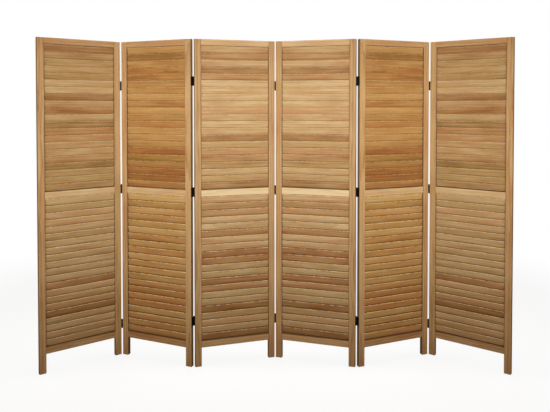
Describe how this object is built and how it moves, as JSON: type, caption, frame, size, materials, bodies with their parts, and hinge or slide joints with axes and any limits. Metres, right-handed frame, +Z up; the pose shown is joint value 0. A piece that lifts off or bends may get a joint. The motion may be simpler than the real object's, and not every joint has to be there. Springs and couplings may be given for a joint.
{
  "type": "rotating slat room divider",
  "caption": "Free-standing folding screen of hinged wooden panels, each filled with horizontal louvre slats that turn on end pins.",
  "frame": {"origin": "on the floor, at the bottom centre of the screen as it stands in its zigzag; the middle hinge line lies on X = 0", "axes": "+X runs to the right along the screen, +Y points away from the viewer, +Z is up"},
  "size_m": [2.3968, 0.2728, 1.7],
  "materials": {
    "stile_wood": "satin oiled light hardwood",
    "rail_wood": "satin oiled light hardwood",
    "slat_wood": "satin oiled hardwood, tone varies from slat to slat",
    "hinge_steel": "black lacquered steel",
    "screw_steel": "black lacquered steel",
    "pin_steel": "black lacquered steel"
  },
  "bodies": {
    "panel_1": {"panel_1_left_stile": "stile_wood", "panel_1_right_stile": "stile_wood", "panel_1_rails": "rail_wood", "panel_1_slats": "slat_wood", "panel_1_hinge_screws": "screw_steel", "panel_1_right_hinge_leaves": "hinge_steel"},
    "panel_2": {"panel_2_left_stile": "stile_wood", "panel_2_right_stile": "stile_wood", "panel_2_rails": "rail_wood", "panel_2_slats": "slat_wood", "panel_2_hinge_screws": "screw_steel", "panel_2_left_hinge_leaves": "hinge_steel", "panel_2_right_hinge_leaves": "hinge_steel", "hinge_pins_1_2": "pin_steel"},
    "panel_3": {"panel_3_left_stile": "stile_wood", "panel_3_right_stile": "stile_wood", "panel_3_rails": "rail_wood", "panel_3_slats": "slat_wood", "panel_3_hinge_screws": "screw_steel", "panel_3_left_hinge_leaves": "hinge_steel", "panel_3_right_hinge_leaves": "hinge_steel", "hinge_pins_2_3": "pin_steel", "hinge_pins_3_4": "pin_steel"},
    "panel_4": {"panel_4_left_stile": "stile_wood", "panel_4_right_stile": "stile_wood", "panel_4_rails": "rail_wood", "panel_4_slats": "slat_wood", "panel_4_hinge_screws": "screw_steel", "panel_4_left_hinge_leaves": "hinge_steel", "panel_4_right_hinge_leaves": "hinge_steel", "hinge_pins_4_5": "pin_steel"},
    "panel_5": {"panel_5_left_stile": "stile_wood", "panel_5_right_stile": "stile_wood", "panel_5_rails": "rail_wood", "panel_5_slats": "slat_wood", "panel_5_hinge_screws": "screw_steel", "panel_5_left_hinge_leaves": "hinge_steel", "panel_5_right_hinge_leaves": "hinge_steel", "hinge_pins_5_6": "pin_steel"},
    "panel_6": {"panel_6_left_stile": "stile_wood", "panel_6_right_stile": "stile_wood", "panel_6_rails": "rail_wood", "panel_6_slats": "slat_wood", "panel_6_hinge_screws": "screw_steel", "panel_6_left_hinge_leaves": "hinge_steel"},
    "panel_1_upper_slat": {"panel_1_turning_slat_upper": "slat_wood"},
    "panel_1_lower_slat": {"panel_1_turning_slat_lower": "slat_wood"},
    "panel_2_upper_slat": {"panel_2_turning_slat_upper": "slat_wood"},
    "panel_2_lower_slat": {"panel_2_turning_slat_lower": "slat_wood"},
    "panel_3_upper_slat": {"panel_3_turning_slat_upper": "slat_wood"},
    "panel_3_lower_slat": {"panel_3_turning_slat_lower": "slat_wood"},
    "panel_4_upper_slat": {"panel_4_turning_slat_upper": "slat_wood"},
    "panel_4_lower_slat": {"panel_4_turning_slat_lower": "slat_wood"},
    "panel_5_upper_slat": {"panel_5_turning_slat_upper": "slat_wood"},
    "panel_5_lower_slat": {"panel_5_turning_slat_lower": "slat_wood"},
    "panel_6_upper_slat": {"panel_6_turning_slat_upper": "slat_wood"},
    "panel_6_lower_slat": {"panel_6_turning_slat_lower": "slat_wood"}
  },
  "joints": [
    {"name": "fold_2_3", "type": "hinge", "parent": "panel_3", "child": "panel_2", "pos_m": [-0.42285, -0.02391, 0], "axis": [0, 0, -1], "range_deg": [-39.4, 140.6]},
    {"name": "fold_1_2", "type": "hinge", "parent": "panel_2", "child": "panel_1", "pos_m": [-0.83461, 0.11336, 0], "axis": [0, 0, 1], "range_deg": [-58.4, 121.6]},
    {"name": "fold_3_4", "type": "hinge", "parent": "panel_3", "child": "panel_4", "pos_m": [0, 0.074, 0], "axis": [0, 0, -1], "range_deg": [-34, 146]},
    {"name": "fold_4_5", "type": "hinge", "parent": "panel_4", "child": "panel_5", "pos_m": [0.42285, -0.02391, 0], "axis": [0, 0, 1], "range_deg": [-39.4, 140.6]},
    {"name": "fold_5_6", "type": "hinge", "parent": "panel_5", "child": "panel_6", "pos_m": [0.83461, 0.11336, 0], "axis": [0, 0, -1], "range_deg": [-58.4, 121.6]},
    {"name": "turn_1_upper", "type": "hinge", "parent": "panel_1", "child": "panel_1_upper_slat", "pos_m": [-1.01858, -0.00176, 1.2941], "axis": [0.809, 0.5878, 0], "range_deg": [-5, 135]},
    {"name": "turn_1_lower", "type": "hinge", "parent": "panel_1", "child": "panel_1_lower_slat", "pos_m": [-1.01858, -0.00176, 0.33], "axis": [0.809, 0.5878, 0], "range_deg": [-5, 135]},
    {"name": "turn_2_upper", "type": "hinge", "parent": "panel_2", "child": "panel_2_upper_slat", "pos_m": [-0.62873, 0.04473, 1.2941], "axis": [0.9245, -0.3811, 0], "range_deg": [-5, 135]},
    {"name": "turn_2_lower", "type": "hinge", "parent": "panel_2", "child": "panel_2_lower_slat", "pos_m": [-0.62873, 0.04473, 0.33], "axis": [0.9245, -0.3811, 0], "range_deg": [-5, 135]},
    {"name": "turn_3_upper", "type": "hinge", "parent": "panel_3", "child": "panel_3_upper_slat", "pos_m": [-0.21143, 0.02505, 1.2941], "axis": [0.9563, 0.2924, 0], "range_deg": [-5, 135]},
    {"name": "turn_3_lower", "type": "hinge", "parent": "panel_3", "child": "panel_3_lower_slat", "pos_m": [-0.21143, 0.02505, 0.33], "axis": [0.9563, 0.2924, 0], "range_deg": [-5, 135]},
    {"name": "turn_4_upper", "type": "hinge", "parent": "panel_4", "child": "panel_4_upper_slat", "pos_m": [0.21143, 0.02505, 1.2941], "axis": [0.9563, -0.2924, 0], "range_deg": [-5, 135]},
    {"name": "turn_4_lower", "type": "hinge", "parent": "panel_4", "child": "panel_4_lower_slat", "pos_m": [0.21143, 0.02505, 0.33], "axis": [0.9563, -0.2924, 0], "range_deg": [-5, 135]},
    {"name": "turn_5_upper", "type": "hinge", "parent": "panel_5", "child": "panel_5_upper_slat", "pos_m": [0.62873, 0.04473, 1.2941], "axis": [0.9245, 0.3811, 0], "range_deg": [-5, 135]},
    {"name": "turn_5_lower", "type": "hinge", "parent": "panel_5", "child": "panel_5_lower_slat", "pos_m": [0.62873, 0.04473, 0.33], "axis": [0.9245, 0.3811, 0], "range_deg": [-5, 135]},
    {"name": "turn_6_upper", "type": "hinge", "parent": "panel_6", "child": "panel_6_upper_slat", "pos_m": [1.01858, -0.00176, 1.2941], "axis": [0.809, -0.5878, 0], "range_deg": [-5, 135]},
    {"name": "turn_6_lower", "type": "hinge", "parent": "panel_6", "child": "panel_6_lower_slat", "pos_m": [1.01858, -0.00176, 0.33], "axis": [0.809, -0.5878, 0], "range_deg": [-5, 135]}
  ]
}
